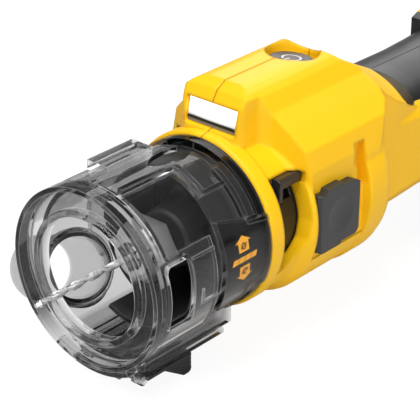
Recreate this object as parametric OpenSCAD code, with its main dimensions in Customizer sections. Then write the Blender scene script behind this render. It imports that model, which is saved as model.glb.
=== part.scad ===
// Drywall cut out tool: a battery driven spiral saw with a clear dust shroud.
// The spindle runs along X with the bit at the low X end and the pack at the
// high X end. Y points to the tool's right, Z points up. Millimetres.

/* [Spindle] */
// Diameter of the spiral bit's shank
bit_d = 3.175; // [3.175, 4, 6.35]
// How far the bit reaches in front of the clear ring
bit_reach = 27; // [22:1:32]
// Width across the flats of the collet nut
nut_flats = 24; // [20:1:26]
// Distance from the front ring back to the nut's face
nut_x = 27.6; // [25:0.2:30]
// Length of the collet nut
nut_len = 13.4; // [12:0.2:14]
// Radius of the motor shaft
shaft_r = 4; // [3.5:0.5:4.5]

/* [Front sleeve] */
// Outer radius of the clear front ring
ring_r = 40; // [39.5:0.1:40.5]
// Length of the closed front ring
ring_len = 8.6; // [8:0.2:9.4]
// Wall of the clear moulded parts
clear_wall = 2.2; // [1.8:0.1:2.4]
// Radius of the rolled collar round the bit
collar_r = 27.8; // [25:0.2:29]
// Distance the web between collar and ring is set back
web_set_back = 4.9; // [4:0.1:5.2]
// Length of the sleeve's side wall
sleeve_len = 36; // [33:0.5:37]
// Forward travel of the sleeve when the cutting depth is set
depth_travel = 14; // [10:1:16]

/* [Dust shroud] */
// Front edge of the shroud's tube
shroud_front = 13; // [12.6:0.1:14]
// Rear end of the shroud's spigot inside the housing
shroud_back = 79; // [77:0.5:79]
// Outer radius of the dust port
port_r = 15.2; // [14:0.2:16]
// Wall of the dust port
port_wall = 1.8; // [1.5:0.1:2.2]
// Length of the dust port measured from the spindle
port_reach = 84; // [72:1:92]
// Angle of the port below the tool's right
port_drop = 28; // [24:1:30]
// Rearward tilt of the port
port_tilt = 19; // [17:1:21]
// Half width of the rail channel under the shroud
rail_w = 16.5; // [15.5:0.1:17.5]
// Depth of the rail channel below the spindle
rail_z = 48.5; // [48:0.1:49]
// Rear face of the locking lever
lever_x1 = 46.8; // [44:0.2:50]

/* [Housing] */
// Front face of the housing's ring
house_front = 71; // [70.5:0.1:71.5]
// Radius of the moulded motor drum
drum_r = 42.8; // [42.4:0.1:43.2]
// Radius of the raised band behind the motor
band_r = 43.6; // [43.4:0.1:44]
// Height of the flat deck above the spindle
deck_z = 60; // [59:0.5:61]
// Half width of the flat deck
deck_w = 14; // [13:0.5:15]
// Half width of the lamp block at the front of the deck
lamp_w = 16.5; // [16:0.25:17]
// Half width over the flat sides of the neck and handle
neck_w = 28.5; // [27.5:0.5:29.5]
// Start of the rubber grip
grip_x = 180; // [178:1:184]
// Thickness of the rubber grip
grip_t = 2.5; // [2:0.25:3]
// Radius of the power button
button_r = 10.1; // [9:0.1:10.4]
// Rearward tilt of the power button
button_tilt = 8; // [6:1:10]

/* [Battery foot] */
// Front of the battery foot
foot_x = 268; // [264:1:272]
// Half width of the battery foot
foot_w = 37; // [35:0.5:38]
// Height of the spindle above the surface the tool lies on
rest_z = 58; // [57.5:0.25:59]

/* [Battery pack] */
// Thickness of the pack along the spindle
pack_t = 51; // [48:1:54]
// Half width of the pack
pack_w = 37.5; // [36:0.5:39]
// Length of the pack
pack_len = 110; // [108:1:114]
// Diameter of one cell
cell_d = 18.4; // [18:0.1:18.6]

/* [Hidden] */
$fn = 96;
eps = 0.01;
// Free space between pieces that move against each other
slip = 0.3;
// Radial space of a shaft in its bearing
run = 0.04;
far = 200;

sleeve_in = ring_r - clear_wall;
shroud_r = sleeve_in - 0.5;
shroud_in = shroud_r - clear_wall;
mouth_r = shroud_r + 0.4;
// Black guard that stands round the collet inside the shroud
guard_r = shroud_in - 1.9;
guard_wall = 2;
guard_x0 = 28;
guard_cut = 46;
// Dust port: where its axis meets the spindle, its neck and the shroud's flange round it
port_x = 15;
port_in = port_r - port_wall;
neck_r = port_r + 0.1;
flange_in = neck_r + 0.1;
flange_r = flange_in + 2;
flange_t0 = 28;
flange_t1 = 39.5;
port_y = cos(port_tilt) * cos(port_drop);
port_y_max = port_reach * port_y + port_r * sqrt(1 - port_y * port_y);
bit_r = bit_d / 2;
flute_front = bit_reach - 2.4;

bar_w = 12;
bar_low = rail_z - 3.5;
bar_high = sleeve_in + 1.1;
rail_in = bar_w + 0.4;
rail_floor = bar_low + 1.2;
lever_pivot = [shroud_front + 3.5, -(rail_z - 0.6)];
lever_w = rail_w - 0.7;
lever_t = 1.5;
pin_r = 1.3;
barrel_r = 1.9;
ear_r = 2.8;
lever_top = -rail_z - slip;
lever_low = lever_top - lever_t;
chin_r = ring_r + 3.8;

ring_end = 78.5;
valley_r = 39.2;
plate_x0 = shroud_back + 0.5;
plate_x1 = plate_x0 + 2;
guard_back = plate_x0 - 5.5;
fan_r = 29;
fan_x0 = 85;
fan_x1 = 93.6;
sleeve_r = 33;
room_r = 33.4;
room_x = 97.5;
drum_x = 97;
slot_x = 134.5;
stator_r = 26;
stator_x0 = 99;
motor_back = 137.5;
stator_x1 = motor_back - 4.5;
winding_r = 19;
bear_f = 60;
bear_r = motor_back + 2;
bear_w = 6.5;
bear_f_out = 11;
bear_r_out = 9.5;
side_floor = 38.8;
cover_y = 43.2;
// Lamp window in the block at the front of the deck
lamp_low = ring_r + 1.3;
lamp_high = lamp_low + 10.2;
lamp_half = lamp_w - 3.3;
lamp_x = 77;
board_x0 = 108.4;
board_x1 = motor_back + 3.1;
board_z = 40;
screw_head = 3.7;

foot_r = 34;
pack_x = foot_x + 25;
pack_back = pack_x + pack_t;
pack_low = rest_z - 1;
pack_top = pack_len - pack_low;
pack_split = pack_x + 17;
block_x = pack_x - 1;
cell_pitch = cell_d + 1;
cell_count = floor((pack_len - 8) / cell_pitch);

mid_x = (pack_back - bit_reach) / 2;
mid_y = (port_y_max - band_r) / 2;

// Screw places in the clamshell: along the spindle and above it
screw_at = [[103.5, -34.2], [142, -34.2], [144.4, 33], [99.5, 52], [171, 26], [171, -26],
    [foot_x - 6.5, 0], [foot_x + 19, 40], [foot_x + 16, -49]];

// Moves the spindle's own frame so that the tool lies on Z = 0, centred on X and Y
module place() {
    translate([-mid_x, -mid_y, rest_z]) children();
}

module block(x, y, z) {
    translate([x[0], y[0], z[0]]) cube([x[1] - x[0], y[1] - y[0], z[1] - z[0]]);
}

module rod_x(x0, x1, r) {
    translate([x0, 0, 0]) rotate([0, 90, 0]) cylinder(h = x1 - x0, r = r);
}

module pipe_x(x0, x1, ro, ri) {
    difference() {
        rod_x(x0, x1, ro);
        rod_x(x0 - 1, x1 + 1, ri);
    }
}

module rod_y(x, z, y0, y1, r) {
    translate([x, y1, z]) rotate([90, 0, 0]) cylinder(h = y1 - y0, r = r);
}

// A flat shape drawn in Y and Z, drawn out along X
module along_x(x0, x1) {
    translate([x0, 0, 0]) rotate([90, 0, 90]) linear_extrude(x1 - x0) children();
}

// A flat shape drawn in X and Z, drawn out along Y
module along_y(y0, y1) {
    translate([0, y1, 0]) rotate([90, 0, 0]) linear_extrude(y1 - y0) children();
}

// A flat shape drawn in X and Y, drawn out along Z
module along_z(z0, z1) {
    translate([0, 0, z0]) linear_extrude(z1 - z0) children();
}

// A profile of [radius, x] turned round the spindle
module turned(profile) {
    rotate([0, 90, 0]) rotate_extrude() polygon(profile);
}

function arc(r, a0, a1, n) = [for (i = [0:n]) let (a = a0 + (a1 - a0) * i / n) [r * cos(a), r * sin(a)]];

// Wedge of a disc between two angles, counted from the tool's right through the top
module sector(x0, x1, a0, a1) {
    along_x(x0, x1) polygon(concat([[0, 0]], arc(ring_r + 20, a0, a1, 6)));
}

// Part of a tube between two angles
module tube_part(x0, x1, a0, a1, ro, ri) {
    intersection() {
        pipe_x(x0, x1, ro, ri);
        sector(x0 - 1, x1 + 1, a0, a1);
    }
}

// Rectangle with round corners from corner a to corner b
module soft_rect(a, b, r) {
    translate([a[0] + r, a[1]]) square([b[0] - a[0] - 2 * r, b[1] - a[1]]);
    translate([a[0], a[1] + r]) square([b[0] - a[0], b[1] - a[1] - 2 * r]);
    for (x = [a[0] + r, b[0] - r]) for (y = [a[1] + r, b[1] - r]) translate([x, y]) circle(r = r);
}

// Local frame of the dust port: +Z runs out along the port from the spindle
module port_frame() {
    translate([port_x, 0, 0]) rotate([-(90 + port_drop), 0, 0]) rotate([0, port_tilt, 0]) children();
}

// Front sleeve: ring, set back web, rolled collar, windowed side walls, tongue, chin and slide bar
module depth_sleeve() {
    color([0.35, 0.36, 0.38, 0.5]) place() difference() {
        union() {
            pipe_x(0, ring_len, ring_r, sleeve_in);
            pipe_x(web_set_back, web_set_back + clear_wall, sleeve_in + 0.5, collar_r);
            pipe_x(1.4, web_set_back + clear_wall, collar_r + 1.6, collar_r - 0.6);
            rotate([0, 90, 0]) rotate_extrude() translate([collar_r + 0.5, 1.6]) circle(r = 1.6, $fn = 32);
            tube_part(ring_len - 1, sleeve_len, 152, 216, ring_r, sleeve_in);
            tube_part(ring_len - 1, sleeve_len, 16, 52, ring_r, sleeve_in);
            // thumb tongue on the top with its stepped end
            tube_part(ring_len - 1, 44, 64, 84, ring_r, sleeve_in);
            block([20, 46.5], [5.2, 16.5], [sleeve_in - 0.5, ring_r + 1.6]);
            block([42, 48], [7, 15], [sleeve_in - 2.6, ring_r - 0.5]);
            // raised lines on the left wall behind the window
            tube_part(23, sleeve_len, 158.5, 160, ring_r + 0.6, sleeve_in + 1);
            tube_part(26.2, sleeve_len, 188, 189.5, ring_r + 0.6, sleeve_in + 1);
            tube_part(26.2, 27.4, 180, 189.5, ring_r + 0.6, sleeve_in + 1);
            sleeve_foot();
        }
        // window in the left wall
        along_y(-far, -20) soft_rect([ring_len, -14], [22.5, 15], 3);
        // the shroud's tube and port stay clear
        rod_x(ring_len, shroud_back, sleeve_in);
        rod_x(-1, 1.6, collar_r - 1);
    }
}

// Thickened chin of the ring and the bar that slides in the shroud's channel
module sleeve_foot() {
    tube_part(3, ring_len, 242, 298, chin_r, sleeve_in);
    block([ring_len - 2, 60], [-bar_w, bar_w], [-bar_low, -bar_high]);
    // teeth of the depth scale under the bar
    for (i = [0:9]) block([14 + i * 4.2, 16 + i * 4.2], [-bar_w + 1, -bar_w + 6],
        [-bar_low - 0.6, -bar_low + 1]);
}

// Clear shroud: tube, thumb panels, ribs, leaf opening, rail channel, dust port and spigot
module dust_shroud() {
    color([0.3, 0.31, 0.33, 0.5]) place() difference() {
        union() {
            rod_x(shroud_front, shroud_back, shroud_r);
            thumb_panel();
            mirror([0, 1, 0]) thumb_panel();
            // raised ribs on the upper left
            tube_part(shroud_front, 45.5, 100.5, 104, ring_r - 0.1, shroud_in + 1);
            tube_part(43, 45.5, 100.5, 129, ring_r - 0.1, shroud_in + 1);
            tube_part(57, 59.6, 118, 152, ring_r - 0.1, shroud_in + 1);
            tube_part(44, 59.6, 127, 129.5, ring_r - 0.1, shroud_in + 1);
            // stop band in front of the housing ring
            pipe_x(66, 70.6, shroud_r + 1.4, shroud_in + 1);
            rail_channel();
            port_frame() translate([0, 0, flange_t0]) cylinder(h = flange_t1 - flange_t0, r = flange_r);
            lever_ears();
        }
        rod_x(-5, shroud_back + 1, shroud_in);
        // space for the slide bar, open to the front
        block([shroud_front - 1, 62], [-rail_in, rail_in], [-rail_floor, -bar_high + 0.6]);
        port_frame() port_form(10, flange_in - neck_r);
        // window behind the sleeve's, a little longer
        along_y(-far, -20) soft_rect([shroud_front - 4, -14], [25.2, 15], 3);
        // leaf shaped opening at the top
        along_z(20, far) intersection() {
            translate([52, 14]) circle(r = 20);
            translate([52, -14]) circle(r = 20);
        }
        // rear edge cut away over the top
        sector(60.5, 66, 66, 114);
        // notch for the locking lever's barrel, slot for its cam and the bore of its pin
        block([shroud_front - 1, lever_pivot[0] + barrel_r + slip], [-rail_in, rail_in],
            [-rail_z - 1, -bar_low]);
        block([lever_pivot[0] + 1, lever_pivot[0] + 8], [-6.5, 6.5], [-rail_z - 1, -bar_low]);
        rod_y(lever_pivot[0], lever_pivot[1], -rail_w - 1, rail_w + 1, pin_r + eps);
    }
}

// Raised grip panel on the left flank, drawn to a slanted outline
module thumb_panel() {
    intersection() {
        pipe_x(41.6, 70.6, ring_r - 0.2, shroud_in + 1);
        along_y(-far, 0) polygon([[41.6, -19], [41.6, 21], [57.4, 17], [70.6, 15.6], [70.6, -16]]);
    }
    // thin rim along the panel's upper edge
    intersection() {
        pipe_x(58, 70.6, ring_r + 0.4, shroud_in + 1);
        along_y(-far, 0) polygon([[58, 15.6], [70.6, 13.6], [70.6, 15.6], [58, 17]]);
    }
}

// Twin rails and floor of the channel under the shroud
module rail_channel() {
    difference() {
        along_x(shroud_front, 67) union() {
            soft_rect([-rail_w, -rail_z], [rail_w, -31], 1.5);
            soft_rect([-rail_w - 4, -ring_r - 1], [rail_w + 4, -29.5], 1);
        }
        // hollows between the rails and the tube
        for (s = [-1, 1]) scale([1, s, 1])
            block([shroud_front - 1, 64.5], [rail_w - 1.8, rail_w + 1.8], [-sleeve_in - 1, -20]);
        // groove along each outer flank
        for (s = [-1, 1]) scale([1, s, 1])
            block([20, far], [rail_w - 0.8, rail_w + 9], [-rail_z + 3.1, -rail_z + 5.1]);
    }
}

// Rounded ears on the rails that carry the lever's pin
module lever_ears() {
    for (s = [-1, 1]) scale([1, s, 1]) rod_y(lever_pivot[0], lever_pivot[1], rail_in, rail_w, ear_r);
}

// Outer form of the port with some space round it: neck, collar, tapered root and tube
module port_form(start, space) {
    rotate_extrude() polygon([[0, start], [neck_r + space, start], [neck_r + space, flange_t1],
        [flange_r + space, flange_t1], [flange_r + space, flange_t1 + 1.6],
        [flange_r - 0.6 + space, flange_t1 + 2.8], [port_r + 0.6 + space, flange_t1 + 7],
        [port_r + space, flange_t1 + 11], [port_r + space, port_reach - 0.8],
        [port_r - 0.8 + space, port_reach], [0, port_reach]]);
}

// Port for the hose, whose neck stands in the shroud's flange and whose collar sits against it
module dust_port() {
    color([0.32, 0.33, 0.35, 0.6]) place() port_frame() difference() {
        port_form(flange_t1 - 3, 0);
        cylinder(h = port_reach + 1, r = port_in);
    }
}

// Black guard inside the shroud, cut back where the dust leaves through the port
module inner_guard() {
    color([0.05, 0.05, 0.055]) place() union() {
        tube_part(guard_x0, guard_back, 20, 296, guard_r, guard_r - guard_wall);
        tube_part(guard_cut, guard_back, -64.5, 20.5, guard_r, guard_r - guard_wall);
    }
}

// Locking lever: hinge barrel at its front, thin plate, wedge for the finger and a cam on the slide bar
module depth_lock() {
    color([0.1, 0.1, 0.11]) place() difference() {
        union() {
            rod_y(lever_pivot[0], lever_pivot[1], -rail_in + slip, rail_in - slip, barrel_r);
            block([lever_pivot[0], lever_x1 - 16], [-rail_in + slip, rail_in - slip], [lever_low, lever_top]);
            along_y(-lever_w, lever_w) polygon(concat([[lever_pivot[0] + ear_r + 0.5, lever_low],
                [lever_pivot[0] + ear_r + 0.5, lever_top], [lever_x1, lever_top]],
                [for (a = [0:-15:-90]) [lever_x1 - 2, -rest_z + 2] + 2 * [cos(a), sin(a)]],
                [[lever_x1 - 4.8, -rest_z], [lever_x1 - 16.8, lever_low]]));
            // cam that reaches through the floor and clamps the slide bar
            block([lever_pivot[0] + 2.5, lever_pivot[0] + 6], [-5.6, 5.6], [lever_low, -bar_low - slip]);
        }
        rod_y(lever_pivot[0], lever_pivot[1], -far, far, pin_r + run);
        // finger grooves across the rear end
        for (i = [0:2]) rod_y(lever_x1 + 0.4, lever_low - 0.4 - i * 2, -far, far, 0.7);
    }
}

module lock_pin() {
    color([0.6, 0.6, 0.62]) place() rod_y(lever_pivot[0], lever_pivot[1], -rail_w + 0.4, rail_w - 0.4, pin_r);
}

// Spiral bit: short guide point, two helical flutes and a plain shank
module cutting_bit() {
    color([0.72, 0.72, 0.74]) place() union() {
        rod_x(18, nut_x + 8, bit_r);
        translate([-flute_front, 0, 0]) rotate([0, 90, 0])
            linear_extrude(flute_front + 18.5, twist = -800, slices = 44, $fn = 12) fluted_section();
        rod_x(-bit_reach, -flute_front + 0.4, bit_r * 0.62);
    }
}

// Cross-section of the fluted part: two lands and two hollows
module fluted_section() {
    polygon([for (a = [0:22.5:359]) bit_r * (0.56 + 0.44 * pow(abs(sin(a)), 0.7)) * [cos(a), sin(a)]]);
}

// Slotted collet with a tapered nose
module collet() {
    color([0.55, 0.55, 0.57]) place() difference() {
        turned([[0, nut_x - 0.4], [4.6, nut_x - 0.4], [5.6, nut_x + 1.2], [5.6, nut_x + 10.4],
            [0, nut_x + 10.4]]);
        rod_x(nut_x - 2, nut_x + 12, bit_r);
        for (i = [0:3]) rotate([45 * i, 0, 0]) block([nut_x - 2, nut_x + 7], [-6, 6], [-0.35, 0.35]);
    }
}

// Hexagon nut with a domed front
module collet_nut() {
    color([0.5, 0.5, 0.52]) place() difference() {
        intersection() {
            translate([nut_x, 0, 0]) rotate([0, 90, 0]) rotate([0, 0, 30])
                linear_extrude(nut_len) hexagon(nut_flats);
            turned([[0, nut_x], [nut_flats * 0.36, nut_x], [nut_flats * 0.47, nut_x + 1.6],
                [nut_flats * 0.55, nut_x + 4], [nut_flats * 0.6, nut_x + 7],
                [nut_flats * 0.6, nut_x + nut_len], [0, nut_x + nut_len]]);
        }
        turned([[0, nut_x - 1], [6.6, nut_x - 1], [5.75, nut_x + 1.2], [5.75, nut_x + 3.6],
            [8.65, nut_x + 3.6], [8.65, nut_x + nut_len + 1], [0, nut_x + nut_len + 1]]);
    }
}

module hexagon(flats) {
    polygon([for (i = [0:5]) flats / sqrt(3) * [cos(60 * i), sin(60 * i)]]);
}

// Motor shaft with the collet socket at its front
module spindle() {
    color([0.62, 0.62, 0.64]) place() difference() {
        union() {
            rod_x(nut_x + 4, nut_x + nut_len + 1, 8.6);
            rod_x(nut_x + nut_len + 0.2, nut_x + nut_len + 3.4, 10);
            rod_x(nut_x + nut_len, bear_f + bear_w + 3, shaft_r);
            rod_x(bear_f, bear_r + bear_w + 1, shaft_r);
        }
        rod_x(nut_x, nut_x + 10.6, 5.62);
        // flats for the open spanner
        for (s = [-1, 1]) scale([1, 1, s])
            block([nut_x + nut_len + 0.6, nut_x + nut_len + 4], [-12, 12], [8.4, 12]);
    }
}

module rotor() {
    color([0.4, 0.4, 0.42]) place() pipe_x(stator_x0 - 1, stator_x1 + 1, 12.4, shaft_r);
}

// Cooling fan: hub, back plate and curved rows of straight blades
module fan() {
    color([0.12, 0.12, 0.13]) place() difference() {
        union() {
            rod_x(fan_x0, fan_x1, 8);
            rod_x(fan_x1 - 1.4, fan_x1, fan_r);
            for (i = [0:10]) rotate([i * 360 / 11, 0, 0]) translate([0, 6, 0]) rotate([18, 0, 0])
                block([fan_x0 + 0.6, fan_x1 - 1], [0, fan_r - 8], [-0.7, 0.7]);
        }
        rod_x(fan_x0 - 1, fan_x1 + 1, shaft_r);
    }
}

module front_bearing() {
    color([0.7, 0.7, 0.72]) place() pipe_x(bear_f, bear_f + bear_w, bear_f_out, shaft_r + run);
}

module rear_bearing() {
    color([0.7, 0.7, 0.72]) place() pipe_x(bear_r, bear_r + bear_w, bear_r_out, shaft_r + run);
}

// Laminated motor core with six winding slots
module stator() {
    color([0.45, 0.45, 0.47]) place() difference() {
        pipe_x(stator_x0, stator_x1, stator_r, 13.2);
        for (i = [0:5]) rotate([60 * i, 0, 0]) rod_slot();
    }
}

module rod_slot() {
    translate([0, 0, winding_r]) rod_x(stator_x0 - 1, stator_x1 + 1, 3.5);
}

// Copper in the slots, joined by a ring at each end
module windings() {
    color([0.7, 0.38, 0.18]) place() union() {
        pipe_x(stator_x0 - 4.2, stator_x0, winding_r + 3.6, winding_r - 3.8);
        pipe_x(stator_x1, stator_x1 + 4.2, winding_r + 3.6, winding_r - 3.8);
        for (i = [0:5]) rotate([60 * i, 0, 0]) translate([0, 0, winding_r])
            rod_x(stator_x0 - 1, stator_x1 + 1, 3.4);
    }
}

// Dark nose and plate that close the front of the housing and hold the front bearing
module front_plate() {
    color([0.09, 0.09, 0.1]) place() difference() {
        turned([[0, bear_f - 13], [bear_f_out + 1, bear_f - 13], [bear_f_out + 2.4, bear_f - 11.6],
            [bear_f_out + 3.6, bear_f], [bear_f_out + 6, plate_x0 - 13.5], [bear_f_out + 13, plate_x0 - 8.5],
            [guard_r - guard_wall - 0.6, guard_back], [shroud_in - 0.6, guard_back],
            [shroud_in - 0.6, plate_x0],
            [mouth_r - 0.1, plate_x0], [mouth_r - 0.1, plate_x1], [sleeve_r - 1.6, plate_x1],
            [sleeve_r - 2, plate_x0 - 2.5], [bear_f_out + 11, plate_x0 - 6.1],
            [bear_f_out + 4.4, bear_f + bear_w + 1.9], [bear_f_out + run, bear_f + bear_w + 1.9],
            [bear_f_out + run, bear_f], [0, bear_f]]);
        rod_x(bear_f - 20, plate_x1, shaft_r + 1);
    }
}

// Dark cylinder round the fan, seen through the front vents
module motor_sleeve() {
    color([0.06, 0.06, 0.07]) place() difference() {
        pipe_x(plate_x1, room_x - 0.4, sleeve_r, sleeve_r - 1.6);
        // outlets above and below
        for (a = [0:5]) rotate([a * 60, 0, 0]) block([fan_x0, fan_x1], [-4, 4], [20, 40]);
    }
}

// Latch tab at the upper end of the left front vent
module latch_body() {
    along_x(82, 96.2) polygon([[-33.8, 20.6], [-34.4, 24], [-32.6, 25], [-29.4, 25], [-29.4, 20.6]]);
    block([82, 84], [-34, -32], [15, 21]);
}

module shroud_latch_left() {
    color([0.08, 0.08, 0.09]) place() latch_body();
}

module shroud_latch_right() {
    color([0.08, 0.08, 0.09]) place() mirror([0, 1, 0]) latch_body();
}

// Outline of the upper body in Y and Z, with its flat deck and two facets on each side
module deck_outline() {
    right = [[deck_w - 5.5, deck_z], [deck_w - 2.5, deck_z - 0.7], [deck_w + 0.4, deck_z - 2],
        [deck_w + 3, deck_z - 4.4], [21, 48.6], [29.5, 40.8], [36.5, 33.6], [39.8, 20], [40, 0]];
    polygon(concat(right, [for (i = [len(right) - 1:-1:0]) [-right[i][0], right[i][1]]]));
}

// Outline of the upper body in X and Z
module deck_side() {
    polygon([[75.6, 0], [75.6, 40], [76.6, 47], [78.4, 53.1], [81, 57.2], [86.1, deck_z], [139, deck_z],
        [144, 56.2], [157, 48.5], [175, 40], [184, 35.6], [192, 30], [192, 0]]);
}

// Outline of the upper body in X and Y
module deck_plan() {
    left = [[75.6, 4 - lamp_w], [76.1, 2.1 - lamp_w], [77.4, 0.6 - lamp_w], [79.6, -lamp_w], [88, -lamp_w],
        [91.5, -21], [drum_x, -40], [144, -40], [152, -36], [160, -30], [192, -26]];
    polygon(concat(left, [for (i = [len(left) - 1:-1:0]) [left[i][0], -left[i][1]]]));
}

// Rounds the rear end of the deck down to the handle
module deck_taper() {
    turned([[0, 70], [80, 70], [80, 141], [61.5, 146], [52.5, 155], [46.6, 163], [41.6, 172], [38.2, 180],
        [35.6, 187], [32.9, 192], [0, 192]]);
}

// Turned body from the front ring to the battery foot
module body_turned() {
    turned([[0, house_front], [ring_r - 1, house_front], [ring_r, house_front + 1], [ring_r, ring_end],
        [valley_r, ring_end + 0.8], [valley_r, 91.5], [drum_r, drum_x], [drum_r, slot_x],
        [band_r, slot_x + 0.8], [band_r, 146], [band_r - 0.9, 149], [band_r - 3.4, 152.4], [36.6, 156],
        [34.4, 160], [33.4, 168], [33, 185], [32.4, 200], [32, 225], [32.6, 244], [foot_r, foot_x + 2],
        [foot_r, foot_x + 6], [0, foot_x + 6]]);
}

// Full outer form of the two clamshell halves, before it is split
module house_form() {
    difference() {
        union() {
            body_turned();
            intersection() {
                along_x(75.6, 192) deck_outline();
                along_y(-50, 50) deck_side();
                along_z(-1, 70) deck_plan();
                deck_taper();
            }
            foot_form();
        }
        // flat sides of the neck and handle
        for (s = [-1, 1]) scale([1, s, 1]) block([157.5, foot_x + 6], [neck_w, 60], [-60, 60]);
        // recessed side panels behind the front vents
        for (s = [-1, 1]) scale([1, s, 1]) block([drum_x + 0.8, slot_x], [side_floor, 60], [-16.5, 24]);
    }
}

// Battery foot flaring out of the handle
module foot_form() {
    intersection() {
        along_x(foot_x - 8, pack_x - 1) soft_rect([-foot_w, -rest_z], [foot_w, 50], 9);
        along_y(-50, 50) polygon([[foot_x - 8, -31], [foot_x + 6, -rest_z + 4], [foot_x + 9, -rest_z],
            [pack_x - 1, -rest_z], [pack_x - 1, 50], [foot_x + 20, 50], [foot_x + 6, foot_r],
            [foot_x - 8, 31]]);
        along_z(-70, 70) polygon([[foot_x - 8, -neck_w + 2], [foot_x + 6, -neck_w], [foot_x + 20, -foot_w],
            [pack_x - 1, -foot_w], [pack_x - 1, foot_w], [foot_x + 20, foot_w], [foot_x + 6, neck_w],
            [foot_x - 8, neck_w - 2]]);
    }
}

// Space that the rubber grip fills: upper and lower strips joined by a band at the rear
module grip_zone() {
    difference() {
        intersection() {
            block([grip_x, foot_x - 2], [-60, 60], [-60, 60]);
            union() {
                along_y(-60, 60) polygon([[grip_x, 28], [grip_x + 1.4, 25.6], [grip_x + 6, 23], [238, 18],
                    [238, 60], [grip_x, 60]]);
                along_y(-60, 60) polygon([[grip_x + 19, -60], [grip_x + 19, -24], [grip_x + 25, -18],
                    [238, -14], [238, -60]]);
                block([238 - eps, foot_x - 2], [-60, 60], [-60, 60]);
            }
        }
        // core that stays yellow
        intersection() {
            turned([[0, 150], [33.4 - grip_t, 150], [33 - grip_t, 185], [32.4 - grip_t, 200],
                [32 - grip_t, 225], [32.6 - grip_t, 244], [foot_r - grip_t, foot_x + 2],
                [0, foot_x + 2]]);
            block([150, foot_x + 2], [-neck_w + grip_t, neck_w - grip_t], [-60, 60]);
        }
    }
}

// Everything that is cut out of the clamshell halves
module house_hollow() {
    rod_x(house_front - 1, plate_x1, mouth_r);
    rod_x(plate_x1 - 1, room_x, room_r);
    rod_x(room_x - 1, motor_back, stator_r + run);
    rod_x(motor_back - 1, bear_r + bear_w, bear_r_out + run);
    rod_x(motor_back, bear_r + bear_w + 4, shaft_r + 1);
    rod_x(160, 243, 19.5);
    // lamp opening and its bevelled lip
    block([lamp_x - 7, lamp_x + 9.4], [-lamp_half, lamp_half], [lamp_low, lamp_high]);
    along_y(-lamp_half - 0.8, lamp_half + 0.8) polygon([[lamp_x - 7, lamp_high + 1.1],
        [lamp_x + 0.4, lamp_high + 1.1], [lamp_x + 2, lamp_high], [lamp_x + 2, lamp_low],
        [lamp_x - 7, lamp_low - 2.4]]);
    // front vents with the latch tabs at their upper ends
    for (s = [-1, 1]) scale([1, s, 1]) {
        along_y(27, 60) polygon([[ring_end, 25.3], [95.5, 25.3], [95.5, 4], [94, -5], [90.5, -11.5],
            [85.5, -16.2], [ring_end, -18.5]]);
        block([95, 96.6], [27.5, 36], [20.2, 25.3]);
        // rear air slots
        along_y(34, 60) polygon([[130, 6.5], [130, 16], [127.4, 18], [127.4, 27.5], [slot_x + 0.2, 27.5],
            [slot_x + 0.2, 6.5]]);
        // seat of the side cover
        block([99.6, 123.4], [side_floor - 2.2, 60], [-9.6, 13.6]);
    }
    // pit and bore of the power button
    button_frame() {
        translate([0, 0, -2.6]) cylinder(h = 30, r = button_r + 2.2);
        translate([0, 0, -12]) cylinder(h = 30, r = button_r + slip);
    }
    // room for the control board and the switch
    block([board_x0 - 0.4, board_x1 + 0.4], [-12, 12], [board_z - 2, board_z + 6]);
    for (p = screw_at) {
        rod_y(p[0], p[1], -13, far, 1.95);
        rod_y(p[0], p[1], 9, far, screw_head);
    }
}

// Frame of the power button: origin at the centre of its face, +Z out of it
module button_frame() {
    translate([130.7, 0, 56.4]) rotate([0, button_tilt, 0]) children();
}

module half(s) {
    difference() {
        intersection() {
            house_form();
            scale([1, s, 1]) block([0, pack_back], [0, far], [-far, far]);
        }
        house_hollow();
        grip_zone();
    }
}

module left_housing() {
    color([1, 0.78, 0.08]) place() half(-1);
}

module right_housing() {
    color([1, 0.78, 0.08]) place() half(1);
}

module grip_part(s) {
    difference() {
        intersection() {
            house_form();
            grip_zone();
            scale([1, s, 1]) block([0, pack_back], [0, far], [-far, far]);
        }
        for (p = screw_at) rod_y(p[0], p[1], 9, far, screw_head);
    }
}

module grip_left() {
    color([0.1, 0.1, 0.1]) place() grip_part(-1);
}

module grip_right() {
    color([0.1, 0.1, 0.1]) place() grip_part(1);
}

// Identical pan head screws that hold the halves together, driven from the right
module housing_screws() {
    color([0.3, 0.3, 0.32]) place() for (p = screw_at) difference() {
        union() {
            rod_y(p[0], p[1], -12, 9.4, 1.9);
            rod_y(p[0], p[1], 9.02, 11.8, screw_head - slip);
        }
        block([p[0] - 1.6, p[0] + 1.6], [10.2, 13], [p[1] - 0.5, p[1] + 0.5]);
        block([p[0] - 0.5, p[0] + 0.5], [10.2, 13], [p[1] - 1.6, p[1] + 1.6]);
    }
}

// Window of the work light, flush in the lamp block
module led_lens() {
    color([0.95, 0.95, 0.9, 0.7]) place() intersection() {
        block([lamp_x, lamp_x + 4], [-lamp_half, lamp_half], [lamp_low, lamp_high]);
        turned([[0, lamp_x + 0.4], [lamp_low + 2.7, lamp_x + 0.4], [lamp_high + 1.9, lamp_x + 2.4],
            [lamp_high + 9, lamp_x + 2.4], [lamp_high + 9, lamp_x + 4], [0, lamp_x + 4]]);
    }
}

module led_board() {
    color([0.1, 0.35, 0.18]) place() union() {
        block([lamp_x + 7.8, lamp_x + 9.4], [-lamp_half, lamp_half], [lamp_low, lamp_high]);
        for (y = [-7, 7]) block([lamp_x + 6.6, lamp_x + 8], [y - 1.8, y + 1.8],
            [lamp_low + 3.3, lamp_low + 6.9]);
    }
}

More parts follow.
